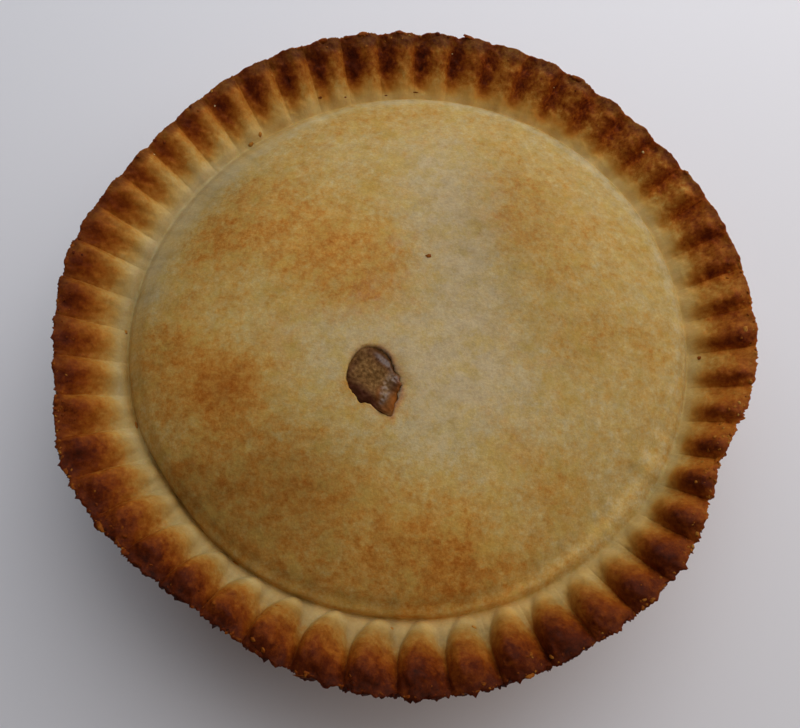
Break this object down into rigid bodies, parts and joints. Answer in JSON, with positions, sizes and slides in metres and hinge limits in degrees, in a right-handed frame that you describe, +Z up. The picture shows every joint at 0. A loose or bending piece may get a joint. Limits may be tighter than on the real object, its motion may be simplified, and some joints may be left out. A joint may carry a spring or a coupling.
{
  "type": "meat and potato pie",
  "caption": "Round baked meat and potato pie with a shallow domed golden lid, a small steam hole filled by the meat, and a dark crimped brim that flares out over tapered sides.",
  "frame": {"origin": "middle of the flat base, on the surface that the pie stands on", "axes": "+Z up through the lid; -Y towards the steam hole's side, which the picture shows nearest; +X to the right of it"},
  "size_m": [0.127, 0.129, 0.033],
  "materials": {
    "baked_pastry": "baked shortcrust: dull pale gold on the lid with toasted patches, browned to near black with a slight egg-wash gloss on the crimps, paler and floury on the sides",
    "meat_and_gravy": "wet grey-brown meat in dark red-brown gravy"
  },
  "bodies": {
    "root": {"crust": "baked_pastry", "filling": "meat_and_gravy"}
  },
  "joints": []
}
